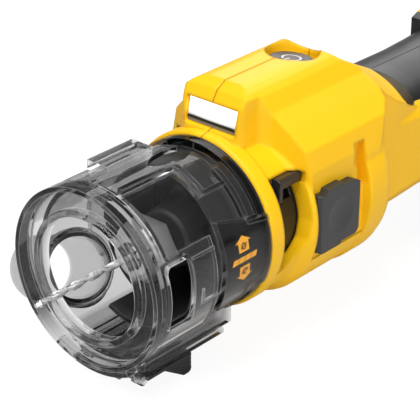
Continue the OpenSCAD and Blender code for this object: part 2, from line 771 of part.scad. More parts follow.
// Round button with a raised rim round the power sign and a stem below
module power_button() {
    color([0.22, 0.22, 0.23]) place() button_frame() difference() {
        union() {
            rotate_extrude() polygon([[0, -4.4], [button_r, -4.4], [button_r, -0.8], [button_r - 0.8, 0],
                [0, 0]]);
            translate([0, 0, -7.8]) cylinder(h = 4, r = 3);
        }
        // engraved generic power sign: open ring and a stroke
        translate([0, 0, -0.35]) difference() {
            cylinder(h = 1, r = 4.6);
            translate([0, 0, -1]) cylinder(h = 3, r = 3.5);
            translate([-5, -1.6, -1]) cube([5, 3.2, 3]);
        }
        translate([-5.4, -0.55, -0.35]) cube([4, 1.1, 1]);
    }
}

module button_switch() {
    color([0.15, 0.15, 0.16]) place() union() {
        block([124.6, 134.6], [-4.6, 4.6], [board_z + 1.6, board_z + 5.4]);
        translate([129.6, 0, board_z + 5]) cylinder(h = 1.9, r = 1.8);
    }
}

module control_board() {
    color([0.08, 0.3, 0.16]) place() union() {
        block([board_x0, board_x1], [-11.7, 11.7], [board_z, board_z + 1.6]);
        block([board_x0 + 2.6, board_x0 + 12.6], [-8, 8], [board_z + 1.6, board_z + 4.6]);
        for (y = [-9.6, 9.6]) for (x = [board_x0 + 1, board_x1 - 1]) translate([x, y, board_z - 2])
            cylinder(h = 2, r = 0.9);
    }
}

// Snap-in side cover with chamfered edge and stepped ends
module cover_body() {
    difference() {
        union() {
            block([100, 123], [-side_floor, -side_floor + 2], [-9.2, 13.2]);
            along_y(-cover_y, -side_floor) polygon([[98.4, -12.6], [101, -13.4], [113, -13.4], [114, -12.2],
                [124, -12.2], [126, -10], [126, 12.6], [122, 14.4], [115, 14.4], [114, 16], [104, 16],
                [103, 14.2], [98.4, 14.2]]);
        }
        // long bevel down the front edge
        along_z(-20, 20) polygon([[97, -cover_y - 1], [99.6, -cover_y - 1], [99.6, -cover_y],
            [98.4, -cover_y + 1.6], [97, -cover_y + 1.6]]);
        // shallow dished face
        translate([112.5, -cover_y - 60 + 0.6, 1]) sphere(r = 60);
    }
}

module side_cover_left() {
    color([0.14, 0.14, 0.15]) place() cover_body();
}

module side_cover_right() {
    color([0.14, 0.14, 0.15]) place() mirror([0, 1, 0]) cover_body();
}

// Rails and contact blades that take the pack
module terminal_block() {
    color([0.12, 0.12, 0.13]) place() union() {
        block([block_x, block_x + 8], [-20, 20], [-44, 40]);
        block([block_x + 4.6, block_x + 8], [-23.6, 23.6], [-44, 36]);
        for (y = [-12, -4, 4, 12]) block([block_x + 7, block_x + 12], [y - 0.5, y + 0.5], [-30, -14]);
    }
}

// Half of the pack that faces the tool, with the rail recess open at its lower end
module battery_base() {
    color([0.13, 0.13, 0.14]) place() difference() {
        intersection() {
            along_x(pack_x - 0.7, pack_split) soft_rect([-pack_w, -pack_low], [pack_w, pack_top], 8);
            along_z(-far, far) polygon([[pack_x - 0.7, -pack_w + 3], [pack_x + 2.3, -pack_w],
                [pack_split, -pack_w], [pack_split, pack_w], [pack_x + 2.3, pack_w],
                [pack_x - 0.7, pack_w - 3]]);
        }
        block([pack_x - 1, pack_x + 3.3], [-20.4, 20.4], [-far, 40.4]);
        block([pack_x + 3.2, pack_x + 12], [-24, 24], [-far, 40.4]);
        // latch pocket at the upper end
        block([pack_x + 4, pack_x + 13], [-14.4, 14.4], [pack_top - 9.5, far]);
    }
}

// Outer half of the pack with grip ribs and a bevelled edge
module battery_cover() {
    color([0.16, 0.16, 0.17]) place() difference() {
        intersection() {
            along_x(pack_split, pack_back) soft_rect([-pack_w, -pack_low], [pack_w, pack_top], 8);
            along_z(-far, far) polygon([[pack_split, -pack_w], [pack_back - 7, -pack_w],
                [pack_back, -pack_w + 7], [pack_back, pack_w - 7], [pack_back - 7, pack_w],
                [pack_split, pack_w]]);
            along_y(-far, far) polygon([[pack_split, -pack_low], [pack_back - 5, -pack_low],
                [pack_back, -pack_low + 5], [pack_back, pack_top - 5], [pack_back - 5, pack_top],
                [pack_split, pack_top]]);
        }
        // room for the cells
        block([pack_split - 1, pack_back - 6.6], [-pack_w + 3, pack_w - 3], [-pack_low + 4, pack_top - 4]);
        // grip grooves on both flanks
        for (s = [-1, 1]) for (i = [0:4]) scale([1, s, 1])
            block([pack_x + 24, pack_back - 9], [pack_w - 1, pack_w + 1], [12 + i * 5, 14 + i * 5]);
        // seats of the charge button and its lights
        translate([pack_back - 3, 0, -28]) rotate([0, 90, 0]) cylinder(h = 5, r = 4.3);
        for (i = [0:2]) block([pack_back - 1.6, pack_back + 1], [-8 + i * 6, -4 + i * 6], [-17, -15]);
    }
}

// Row of cells lying across the pack
module battery_cells() {
    color([0.2, 0.45, 0.7]) place() for (i = [0:cell_count - 1])
        rod_y(pack_split + cell_d / 2, (i - (cell_count - 1) / 2) * cell_pitch - pack_low + pack_len / 2,
            -32.5, 32.5, cell_d / 2);
}

// Release button at the upper end of the pack
module battery_button() {
    color([0.85, 0.62, 0.1]) place() union() {
        block([pack_x + 4.4, pack_x + 12.6], [-14, 14], [pack_top - 5.5, pack_top + 2.4]);
        for (i = [0:2]) block([pack_x + 4.4, pack_x + 12.6], [-10 + i * 8, -6 + i * 8],
            [pack_top + 2.2, pack_top + 3]);
    }
}

module charge_button() {
    color([0.3, 0.3, 0.31]) place() translate([pack_back - 2, 0, -28]) rotate([0, 90, 0])
        rotate_extrude() polygon([[0, 0], [4, 0], [4, 1.4], [3.4, 2], [0, 2]]);
}

module charge_lights() {
    color([0.6, 0.9, 0.6]) place() for (i = [0:2])
        block([pack_back - 1.6, pack_back], [-8 + i * 6, -4 + i * 6], [-17, -15]);
}

depth_sleeve();
dust_shroud();
dust_port();
depth_lock();
lock_pin();
inner_guard();
cutting_bit();
collet();
collet_nut();
spindle();
rotor();
fan();
front_bearing();
rear_bearing();
stator();
windings();
front_plate();
motor_sleeve();
shroud_latch_left();
shroud_latch_right();
left_housing();
right_housing();
housing_screws();
led_lens();
led_board();
power_button();
button_switch();
control_board();
side_cover_left();
side_cover_right();
grip_left();
grip_right();
terminal_block();
battery_base();
battery_cover();
battery_cells();
battery_button();
charge_button();
charge_lights();
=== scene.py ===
"""Looks of the drywall cut out tool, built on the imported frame.

Sizes in the code are millimetres in the spindle's own frame: X runs back along the
spindle from the clear ring's front, Y points to the tool's right and Z up. Lengths in
materials, lamps and the stage are metres, as Blender has them.
"""

import math

import bmesh
import bpy
import numpy as np
from mathutils import Matrix, Vector


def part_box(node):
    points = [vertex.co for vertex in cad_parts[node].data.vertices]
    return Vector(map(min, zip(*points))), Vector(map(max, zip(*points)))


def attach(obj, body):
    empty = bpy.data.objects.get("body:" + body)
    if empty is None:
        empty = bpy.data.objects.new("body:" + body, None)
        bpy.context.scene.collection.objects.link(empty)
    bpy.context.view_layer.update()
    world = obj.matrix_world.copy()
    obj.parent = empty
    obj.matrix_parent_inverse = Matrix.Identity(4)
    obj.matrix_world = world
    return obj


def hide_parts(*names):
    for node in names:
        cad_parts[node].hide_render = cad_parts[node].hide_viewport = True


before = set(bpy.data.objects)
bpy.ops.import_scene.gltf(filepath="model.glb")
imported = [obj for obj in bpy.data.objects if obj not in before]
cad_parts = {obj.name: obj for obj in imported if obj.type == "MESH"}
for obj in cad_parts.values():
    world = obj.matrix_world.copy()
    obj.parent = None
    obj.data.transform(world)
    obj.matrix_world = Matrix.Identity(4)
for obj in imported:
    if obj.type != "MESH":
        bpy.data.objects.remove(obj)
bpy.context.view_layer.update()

bl_info = {
    "name": "Drywall cut out tool",
    "version": (1, 0, 0),
    "blender": (4, 5, 0),
    "location": "View3D > Sidebar > Cut Out Tool",
    "description": "Dresses the drywall cut out tool and its stage",
    "category": "Object",
}

MM = 0.001

# The spindle's axis and the plane of the ring's front, read from the frame
SPINDLE = np.mean(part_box("rotor"), axis=0)
SPINDLE[0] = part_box("depth_sleeve")[0][0]


def spots(points):
    """Points in millimetres in the spindle's frame, as metres in the object's frame."""
    return np.asarray(points, float) * MM + SPINDLE


def node_box(name):
    """A CAD node's lowest and highest corners, in millimetres in the spindle's frame."""
    return (np.array(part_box(name)) - SPINDLE) / MM


# Meshes


def grid(x, y, z):
    """Points of a grid from their three coordinates, each an array or a number."""
    return np.stack(np.broadcast_arrays(x, y, z), -1)


def grid_faces(rows, columns, round_rows=False, round_columns=False):
    """Quads of a grid of rows by columns points, closed round either way where asked."""
    i = np.arange(rows if round_rows else rows - 1)
    j = np.arange(columns if round_columns else columns - 1)
    i, j = np.meshgrid(i, j, indexing="ij")
    i2, j2 = (i + 1) % rows, (j + 1) % columns
    corners = [i * columns + j, i2 * columns + j, i2 * columns + j2, i * columns + j2]
    return np.stack(corners, -1).reshape(-1, 4)


def tube_faces(rows, columns):
    """Faces of a solid turned round an axis: a grid closed round its columns, and both ends."""
    first = list(range(columns))
    last = list(range((rows - 1) * columns, rows * columns))
    return grid_faces(rows, columns, round_columns=True).tolist() + [first, last[::-1]]


def slab(outer, inner, round_rows=False):
    """Closed plate between two grids of the same size: both faces and the rims.

    Each grid holds points as a function of two parameters; the rims join their borders.
    A plate that closes on itself from its last row to its first has only the rims of its
    first and last column."""
    rows, columns = outer.shape[:2]
    count = rows * columns
    faces = grid_faces(rows, columns, round_rows)
    i = np.arange(count).reshape(rows, columns)
    if round_rows:
        border = np.concatenate([i[::-1, 0], i[:, -1]])
        after = np.concatenate([np.roll(i[::-1, 0], -1), np.roll(i[:, -1], -1)])
    else:
        border = np.concatenate([i[0, :-1], i[:-1, -1], i[-1, :0:-1], i[:0:-1, 0]])
        after = np.roll(border, -1)
    rims = np.stack([border, after, after + count, border + count], -1)
    points = np.concatenate([outer.reshape(-1, 3), inner.reshape(-1, 3)])
    return points, np.concatenate([faces, faces[:, ::-1] + count, rims])


def joined(plates):
    """Several plates as one, each one's faces counted on from the points before it."""
    starts = np.cumsum([0] + [len(points) for points, _ in plates[:-1]])
    points = np.concatenate([points for points, _ in plates])
    return points, np.concatenate([faces + start for (_, faces), start in zip(plates, starts)])


def turn_out(mesh):
    """Makes the faces of a closed mesh point outwards."""
    shape = bmesh.new()
    shape.from_mesh(mesh)
    bmesh.ops.recalc_face_normals(shape, faces=shape.faces)
    shape.to_mesh(mesh)
    shape.free()


def make_piece(name, points, faces, material, body, slot, smooth=True):
    """Links a closed mesh of millimetre points as one piece that rides on a body."""
    mesh = bpy.data.meshes.new(name)
    mesh.from_pydata(spots(points).tolist(), [], [list(map(int, face)) for face in faces])
    mesh.update()
    mesh.polygons.foreach_set("use_smooth", np.full(len(mesh.polygons), smooth))
    mesh.materials.append(material)
    turn_out(mesh)
    piece = bpy.data.objects.new(name, mesh)
    bpy.context.scene.collection.objects.link(piece)
    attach(piece, body)
    return piece


# Nodes


def feed(tree, value, socket):
    """Links an output to an input, or sets the input to a number or a colour."""
    if isinstance(value, bpy.types.NodeSocket):
        tree.links.new(value, socket)
    else:
        socket.default_value = (*value, 1) if socket.type == "RGBA" else value


def math_node(tree, operation, *values):
    """A Math node whose inputs are sockets or numbers; returns its output."""
    node = tree.nodes.new("ShaderNodeMath")
    node.operation = operation
    for value, socket in zip(values, node.inputs):
        feed(tree, value, socket)
    return node.outputs[0]


def noise(tree, vector, scale, detail=2.0, roughness=0.5):
    """A Noise Texture node whose scale is a socket or a number; returns its value."""
    node = tree.nodes.new("ShaderNodeTexNoise")
    node.inputs["Detail"].default_value = detail
    node.inputs["Roughness"].default_value = roughness
    tree.links.new(vector, node.inputs["Vector"])
    feed(tree, scale, node.inputs["Scale"])
    return node.outputs["Fac"]


def ramp(tree, value, low, high, start=0.0, smooth=False):
    """A Map Range node that rises from start, at the low value, to 1, at the high one."""
    node = tree.nodes.new("ShaderNodeMapRange")
    node.interpolation_type = "SMOOTHSTEP" if smooth else "LINEAR"
    tree.links.new(value, node.inputs["Value"])
    feed(tree, low, node.inputs["From Min"])
    feed(tree, high, node.inputs["From Max"])
    node.inputs["To Min"].default_value = start
    return node.outputs["Result"]


def shade_mix(tree, factor, first, second):
    """Mix of two colours, each three numbers or a socket; returns its output."""
    mix = tree.nodes.new("ShaderNodeMix")
    mix.data_type = "RGBA"
    tree.links.new(factor, mix.inputs["Factor"])
    feed(tree, first, mix.inputs["A"])
    feed(tree, second, mix.inputs["B"])
    return mix.outputs["Result"]


def object_place(tree):
    """The place on the surface, in the object's own metres, as one vector."""
    return tree.nodes.new("ShaderNodeTexCoord").outputs["Object"]


def object_axes(tree):
    """The place on the surface as its X, Y and Z."""
    split = tree.nodes.new("ShaderNodeSeparateXYZ")
    tree.links.new(object_place(tree), split.inputs["Vector"])
    return split.outputs["X"], split.outputs["Y"], split.outputs["Z"]


def vary(tree, base, wave, spread):
    """The base plus spread times how far a noise is above its middle, one half."""
    swing = math_node(tree, "MULTIPLY", math_node(tree, "SUBTRACT", wave, 0.5), spread)
    return math_node(tree, "ADD", base, swing)


def bump(tree, shader, height, normal, strength, depth):
    """Raises the shader's surface by a height, over a normal that is already soft."""
    node = tree.nodes.new("ShaderNodeBump")
    node.inputs["Strength"].default_value = strength
    node.inputs["Distance"].default_value = depth
    tree.links.new(height, node.inputs["Height"])
    tree.links.new(normal, node.inputs["Normal"])
    tree.links.new(node.outputs["Normal"], shader.inputs["Normal"])


def mix_shaders(tree, factor, first, second, out):
    """Links a mix of two shader nodes to the output node's surface."""
    mix = tree.nodes.new("ShaderNodeMixShader")
    tree.links.new(factor, mix.inputs["Fac"])
    tree.links.new(first.outputs[0], mix.inputs[1])
    tree.links.new(second.outputs[0], mix.inputs[2])
    tree.links.new(mix.outputs["Shader"], out.inputs["Surface"])


def sight_rays(tree):
    """1 for a ray from the camera or through clear plastic, 0 for any other."""
    path = tree.nodes.new("ShaderNodeLightPath")
    return math_node(tree, "MAXIMUM", path.outputs["Is Camera Ray"],
                     path.outputs["Is Transmission Ray"])


def grey(value):
    """A colour without hue."""
    return (value, value, value)


# Shared effects

GROUPS = {}


def new_group(name, inputs, outputs):
    """A shader node group; returns its tree and its two end nodes.

    The inputs are names with default numbers, and the outputs names with socket types."""
    tree = bpy.data.node_groups.new(name, "ShaderNodeTree")
    for label, default in inputs.items():
        socket = tree.interface.new_socket(label, in_out="INPUT", socket_type="NodeSocketFloat")
        socket.default_value = default
    for label, kind in outputs.items():
        tree.interface.new_socket(label, in_out="OUTPUT", socket_type="NodeSocket" + kind)
    return tree, tree.nodes.new("NodeGroupInput"), tree.nodes.new("NodeGroupOutput")


def use_group(tree, key, **values):
    """Places a group in a material with its own values; returns its outputs."""
    node = tree.nodes.new("ShaderNodeGroup")
    node.node_tree = GROUPS[key]
    for name, value in values.items():
        node.inputs[name].default_value = value
    return node.outputs


def grain_group():
    """Moulded grain: a fine noise for height, and a slow one that varies shine and shade."""
    tree, start, end = new_group("Moulded grain", {"Size": 1500.0, "Shine": 0.4, "Spread": 0.1},
                                 {"Height": "Float", "Roughness": "Float", "Shade": "Float"})
    place = object_place(tree)
    slow = noise(tree, place, 45.0, 4.0, 0.55)
    tree.links.new(noise(tree, place, start.outputs["Size"], 3.0, 0.6), end.inputs["Height"])
    tree.links.new(vary(tree, start.outputs["Shine"], slow, start.outputs["Spread"]),
                   end.inputs["Roughness"])
    tree.links.new(slow, end.inputs["Shade"])
    return tree


def edge_group():
    """Soft edges: the normal rounded over sharp corners, and a mask of the corners.

    The mask is one less the dot product of the rounded and the plain normal, six times
    over and at most 1."""
    tree, start, end = new_group("Soft edges", {"Radius": 0.0008},
                                 {"Normal": "Vector", "Edge": "Float"})
    bevel = tree.nodes.new("ShaderNodeBevel")
    bevel.samples = 6
    tree.links.new(start.outputs["Radius"], bevel.inputs["Radius"])
    dot = tree.nodes.new("ShaderNodeVectorMath")
    dot.operation = "DOT_PRODUCT"
    tree.links.new(bevel.outputs["Normal"], dot.inputs[0])
    tree.links.new(tree.nodes.new("ShaderNodeNewGeometry").outputs["Normal"], dot.inputs[1])
    turn = math_node(tree, "SUBTRACT", 1.0, dot.outputs["Value"])
    mask = math_node(tree, "MINIMUM", math_node(tree, "MULTIPLY", turn, 6.0), 1.0)
    tree.links.new(bevel.outputs["Normal"], end.inputs["Normal"])
    tree.links.new(mask, end.inputs["Edge"])
    return tree


def turned_group():
    """Turned metal: a noise drawn out into rings round the spindle, as height and shine."""
    tree, start, end = new_group("Turned metal", {"Shine": 0.3},
                                 {"Height": "Float", "Roughness": "Float"})
    stretch = tree.nodes.new("ShaderNodeMapping")
    stretch.inputs["Scale"].default_value = (1.0, 0.03, 0.03)
    tree.links.new(object_place(tree), stretch.inputs["Vector"])
    rings = noise(tree, stretch.outputs["Vector"], 2600.0, 2.0, 0.7)
    tree.links.new(rings, end.inputs["Height"])
    tree.links.new(vary(tree, start.outputs["Shine"], rings, 0.25), end.inputs["Roughness"])
    return tree


def seam_group():
    """Parting line: a mask that falls from the plane between the halves to 0 at its width."""
    tree, start, end = new_group("Parting line", {"Centre": 0.0, "Half width": 0.0002},
                                 {"Mask": "Float"})
    y = object_axes(tree)[1]
    away = math_node(tree, "ABSOLUTE", math_node(tree, "SUBTRACT", y, start.outputs["Centre"]))
    share = math_node(tree, "DIVIDE", away, start.outputs["Half width"])
    near = math_node(tree, "SUBTRACT", 1.0, share)
    tree.links.new(math_node(tree, "MAXIMUM", near, 0.0), end.inputs["Mask"])
    return tree


def painted_dark_band_group():
    """Painted dark band: a mask of the ring's wall near its front, weaker on the left, where the
    sleeve gets a painted dark reflection.

    It is the product of four ramps: outwards from the spindle, up, forward and across."""
    tree, start, end = new_group("Painted dark band", {"Inside": 0.036, "Outside": 0.038},
                                 {"Mask": "Float"})
    x, y, z = object_axes(tree)
    y = math_node(tree, "SUBTRACT", y, SPINDLE[1])
    z = math_node(tree, "SUBTRACT", z, SPINDLE[2])
    squares = [math_node(tree, "MULTIPLY", side, side) for side in (y, z)]
    away = math_node(tree, "SQRT", math_node(tree, "ADD", *squares))
    mask = ramp(tree, away, start.outputs["Inside"], start.outputs["Outside"])
    up = ramp(tree, z, -40 * MM, -22 * MM, smooth=True)
    ahead = ramp(tree, x, SPINDLE[0] + 9 * MM, SPINDLE[0] + 7 * MM, smooth=True)
    across = ramp(tree, y, -15 * MM, 15 * MM, start=0.55)
    for share in (up, ahead, across):
        mask = math_node(tree, "MULTIPLY", mask, share)
    tree.links.new(mask, end.inputs["Mask"])
    return tree


# Materials

FINISHES = {}

# The finish that each CAD node wears where it keeps its shape
WORN_BY = {
    "housing": ("left_housing", "right_housing"),
    "rubber": ("grip_left", "grip_right"),
    "clear": ("depth_sleeve",),
    "smoked": ("dust_shroud",),
    "port": ("dust_port",),
    "black": ("depth_lock", "shroud_latch_left", "shroud_latch_right", "terminal_block",
              "button_switch", "battery_base", "battery_cover"),
    "cover": ("side_cover_left", "side_cover_right"),
    "nose": ("front_plate", "fan"),
    "gloss": ("motor_sleeve",),
    "nut": ("collet_nut",),
    "screw": ("collet", "housing_screws"),
    "steel": ("spindle", "lock_pin"),
    "bearing": ("front_bearing", "rear_bearing"),
    "core": ("rotor", "stator"),
    "copper": ("windings",),
    "board": ("led_board", "control_board"),
    "button": ("power_button", "charge_button"),
    "trim": ("battery_button",),
    "cell": ("battery_cells",),
    "lamp": ("led_lens",),
    "lights": ("charge_lights",),
}


def shader_parts(name):
    """A new material with its tree, Principled shader and output."""
    material = bpy.data.materials.new(name)
    material.use_nodes = True
    tree = material.node_tree
    tree.nodes.clear()
    out = tree.nodes.new("ShaderNodeOutputMaterial")
    shader = tree.nodes.new("ShaderNodeBsdfPrincipled")
    tree.links.new(shader.outputs["BSDF"], out.inputs["Surface"])
    return material, tree, shader, out


def moulded(name, dark, light, shine, grain=1500.0, depth=0.00002, radius=0.0008, edge=None,
            spread=0.12, specular=0.5, seam=None):
    """Moulded plastic or rubber: grain in the height, slow change of shade and soft edges.

    With an edge colour its corners are painted paler, a painted highlight, and with a seam
    colour it gets the parting line of the two halves."""
    material, tree, shader, _ = shader_parts(name)
    skin = use_group(tree, "grain", Size=grain, Shine=shine, Spread=spread)
    soft = use_group(tree, "edge", Radius=radius)
    colour = shade_mix(tree, skin["Shade"], dark, light)
    if edge:
        # Painted highlight: half way to the edge colour where the corner is sharpest
        painted_edge_highlight = math_node(tree, "MULTIPLY", soft["Edge"], 0.5)
        colour = shade_mix(tree, painted_edge_highlight, colour, edge)
    if seam:
        # Nearly the seam colour in the middle of the line, which is 0.64 mm wide
        line = use_group(tree, "seam", **{"Centre": SPINDLE[1], "Half width": 0.00032})
        groove = math_node(tree, "MULTIPLY", line["Mask"], 1.6)
        colour = shade_mix(tree, math_node(tree, "MINIMUM", groove, 0.85), colour, seam)
    tree.links.new(colour, shader.inputs["Base Color"])
    tree.links.new(skin["Roughness"], shader.inputs["Roughness"])
    shader.inputs["Specular IOR Level"].default_value = specular
    bump(tree, shader, skin["Height"], soft["Normal"], 0.6, depth)
    return material


def metal(name, colour, shine, radius=0.0004):
    """Turned metal with fine rings and soft edges."""
    material, tree, shader, _ = shader_parts(name)
    rings = use_group(tree, "turned", Shine=shine)
    soft = use_group(tree, "edge", Radius=radius)
    skin = use_group(tree, "grain", Size=300.0, Shine=shine, Spread=0.1)
    dark = tuple(0.8 * c for c in colour)
    tree.links.new(shade_mix(tree, skin["Shade"], dark, colour), shader.inputs["Base Color"])
    tree.links.new(rings["Roughness"], shader.inputs["Roughness"])
    shader.inputs["Metallic"].default_value = 1.0
    bump(tree, shader, rings["Height"], soft["Normal"], 0.25, 0.00002)
    return material


def clear_plastic(name, tint, smoke, per_metre, band=None, shine=0.03, ior=1.14, coat=0.5,
                  painted_rim_glow=0.25):
    """Smoked clear plastic, darker the longer the light's way through it, with soft edges.

    With a band its front is painted darker, a painted dark reflection, and its rounded edges
    glow, a painted highlight. It lets the lamps' light through."""
    material, tree, shader, out = shader_parts(name)
    soft = use_group(tree, "edge", Radius=0.0005)
    skin = use_group(tree, "grain", Size=160.0, Shine=shine, Spread=0.03)
    colour = grey(tint)
    if band is not None:
        # Painted dark reflection: near its front the wall is mixed towards the band's grey
        colour = shade_mix(tree, use_group(tree, "band")["Mask"], colour, grey(band))
    feed(tree, colour, shader.inputs["Base Color"])
    tree.links.new(skin["Roughness"], shader.inputs["Roughness"])
    shader.inputs["Transmission Weight"].default_value = 1.0
    shader.inputs["IOR"].default_value = ior
    shader.inputs["Coat Weight"].default_value = coat
    shader.inputs["Coat Roughness"].default_value = 0.03
    # Painted highlight: the rounded edges glow white, standing in for light caught on them
    glow = shade_mix(tree, soft["Edge"], grey(0), grey(1))
    tree.links.new(glow, shader.inputs["Emission Color"])
    shader.inputs["Emission Strength"].default_value = painted_rim_glow
    bump(tree, shader, skin["Height"], soft["Normal"], 0.05, 0.00002)
    inside = tree.nodes.new("ShaderNodeVolumeAbsorption")
    feed(tree, smoke, inside.inputs["Color"])
    inside.inputs["Density"].default_value = per_metre
    tree.links.new(inside.outputs["Volume"], out.inputs["Volume"])
    let_through = tree.nodes.new("ShaderNodeBsdfTransparent")
    feed(tree, grey(0.85), let_through.inputs["Color"])
    path = tree.nodes.new("ShaderNodeLightPath")
    mix_shaders(tree, path.outputs["Is Shadow Ray"], shader, let_through, out)
    return material


def glowing(name, colour, strength, fade=None):
    """Frosted lamp window.

    With a pair of heights above the spindle, its glow grows from the first to the second."""
    material, tree, shader, _ = shader_parts(name)
    skin = use_group(tree, "grain", Size=900.0, Shine=0.35, Spread=0.1)
    tree.links.new(skin["Roughness"], shader.inputs["Roughness"])
    glow = shade_mix(tree, skin["Shade"], tuple(0.9 * c for c in colour), colour)
    window = (0.9, 0.9, 0.86)
    if fade:
        low, high = (SPINDLE[2] + height * MM for height in fade)
        rise = ramp(tree, object_axes(tree)[2], low, high, smooth=True)
        glow = shade_mix(tree, rise, grey(0.02), glow)
        window = shade_mix(tree, rise, grey(0.2), (0.9, 0.9, 0.88))
    feed(tree, window, shader.inputs["Base Color"])
    tree.links.new(glow, shader.inputs["Emission Color"])
    shader.inputs["Emission Strength"].default_value = strength
    return material


def printed(name, colour, shine=0.45):
    """Flat printed ink with a slight unevenness."""
    material, tree, shader, _ = shader_parts(name)
    skin = use_group(tree, "grain", Size=2500.0, Shine=shine, Spread=0.1)
    dark = tuple(0.85 * c for c in colour)
    tree.links.new(shade_mix(tree, skin["Shade"], dark, colour), shader.inputs["Base Color"])
    tree.links.new(skin["Roughness"], shader.inputs["Roughness"])
    return material


# Properties


class CutOutToolSizes(bpy.types.PropertyGroup):
    flute_turns: bpy.props.FloatProperty(
        name="Flute turns", description="Turns of the bit's flutes along its length",
        default=2.2, min=0.5, max=6)
    bit_radius: bpy.props.FloatProperty(
        name="Bit radius", description="Radius of the spiral bit",
        default=1.5875 * MM, unit="LENGTH", subtype="DISTANCE")
    sign_stroke: bpy.props.FloatProperty(
        name="Sign stroke", description="Width of the power sign's line",
        default=1.1 * MM, unit="LENGTH", subtype="DISTANCE")
    mark_lift: bpy.props.FloatProperty(
        name="Mark lift", description="Height of printed marks over the surface",
        default=0.06 * MM, unit="LENGTH", subtype="DISTANCE")


class CutOutToolColours(bpy.types.PropertyGroup):
    housing: bpy.props.FloatVectorProperty(
        name="Housing", description="Colour of the housing's moulding",
        size=3, subtype="COLOR", default=(1.0, 0.565, 0.006), min=0, max=1)
    rubber: bpy.props.FloatVectorProperty(
        name="Rubber", description="Colour of the grip",
        size=3, subtype="COLOR", default=(0.008, 0.008, 0.009), min=0, max=1)
    smoke: bpy.props.FloatVectorProperty(
        name="Smoke", description="Tint of the clear shroud",
        size=3, subtype="COLOR", default=(0.3, 0.3, 0.31), min=0, max=1)
    marks: bpy.props.FloatVectorProperty(
        name="Marks", description="Colour of the marks on the collar",
        size=3, subtype="COLOR", default=(0.92, 0.42, 0.03), min=0, max=1)


# Operators


class CUTOUT_OT_materials(bpy.types.Operator):
    """Makes the shared effects and the materials"""
    bl_idname = "cutout.materials"
    bl_label = "Materials"

    def execute(self, context):
        colours = context.scene.cutout_colours
        yellow, rubber = tuple(colours.housing), tuple(colours.rubber)
        smoke, marks = tuple(colours.smoke), tuple(colours.marks)
        GROUPS.update(grain=grain_group(), edge=edge_group(), turned=turned_group(),
                      seam=seam_group(), band=painted_dark_band_group())
        FINISHES.update({
            # Mouldings: name, darkest and lightest shade, roughness
            "housing": moulded(
                "Housing yellow", tuple(0.95 * c for c in yellow), yellow, 0.42, grain=1400,
                depth=0.00001, radius=0.0022, spread=0.1, specular=0.3, seam=(0.55, 0.22, 0.003)),
            "rubber": moulded(
                "Grip rubber", rubber, (0.012, 0.012, 0.013), 0.36, grain=1100,
                depth=0.00008, radius=0.001, spread=0.15, specular=0.3),
            # The black, cover and button mouldings get paler corners from their edge colour, a
            # painted highlight
            "black": moulded(
                "Black moulding", (0.012, 0.012, 0.013), (0.022, 0.022, 0.024), 0.38,
                depth=0.000006, edge=(0.06, 0.06, 0.065)),
            "nose": moulded(
                "Nose moulding", (0.010, 0.010, 0.011), (0.016, 0.016, 0.017), 0.42,
                depth=0.000004),
            "gloss": moulded(
                "Gloss black", (0.008, 0.008, 0.009), (0.014, 0.014, 0.015), 0.12,
                depth=0.000004, spread=0.05),
            "cover": moulded(
                "Cover black", (0.02, 0.02, 0.021), (0.035, 0.035, 0.037), 0.36,
                edge=(0.09, 0.09, 0.095)),
            "button": moulded(
                "Button grey", (0.05, 0.05, 0.053), (0.08, 0.08, 0.084), 0.45, edge=grey(0.12)),
            "board": moulded("Circuit board", (0.01, 0.09, 0.03), (0.02, 0.14, 0.05), 0.4),
            "trim": moulded("Pack release", (0.75, 0.45, 0.012), (0.85, 0.5, 0.015), 0.4),
            "cell": moulded("Cell sleeve", (0.03, 0.12, 0.3), (0.04, 0.16, 0.38), 0.25),
            "pin": moulded("Pin mark", (0.45, 0.2, 0.004), (0.5, 0.22, 0.005), 0.4),
            # Metals: name, colour, roughness
            "copper": metal("Copper wire", (0.78, 0.36, 0.16), 0.35),
            "steel": metal("Ground steel", (0.62, 0.62, 0.64), 0.22),
            "nut": metal("Nut steel", (0.8, 0.8, 0.81), 0.5),
            "screw": metal("Screw steel", (0.30, 0.30, 0.31), 0.34),
            "bearing": metal("Bearing steel", (0.66, 0.66, 0.68), 0.15),
            "core": metal("Core plates", (0.28, 0.28, 0.29), 0.4),
            "bit": metal("Bit steel", (0.86, 0.86, 0.87), 0.3, radius=0.0002),
            # Clear plastics: name, tint, smoke and how much of it there is in a metre
            # The sleeve's front is painted down to a grey of 0.1, a painted dark reflection
            "clear": clear_plastic("Smoked clear sleeve", 0.9, smoke, 110, band=0.1, ior=1.12,
                                   coat=0.4),
            # The shroud's and the port's edges glow at 0.1, a painted highlight
            "smoked": clear_plastic("Smoked clear shroud", 0.8, smoke, 160, shine=0.06, painted_rim_glow=0.1),
            "port": clear_plastic("Smoked clear port", 0.75, smoke, 240, shine=0.08, painted_rim_glow=0.1),
            # Lights and inks
            "lamp": glowing("Lamp window", (1.0, 0.98, 0.93), 1.5, fade=(42.6, 47.5)),
            "lights": glowing("Charge lights", (0.2, 0.9, 0.3), 0.2),
            "marks": printed("Collar marks", marks),
            "sign": printed("Button sign", (0.75, 0.75, 0.76)),
            "ink": printed("Dark ink", (0.03, 0.02, 0.012), 0.5),
        })
        return {"FINISHED"}


class CUTOUT_OT_bodywork(bpy.types.Operator):
    """Dresses the CAD nodes that keep their shape"""
    bl_idname = "cutout.bodywork"
    bl_label = "Bodywork"

    def execute(self, context):
        for finish, nodes in WORN_BY.items():
            for name in nodes:
                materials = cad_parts[name].data.materials
                materials.clear()
                materials.append(FINISHES[finish])
        return {"FINISHED"}


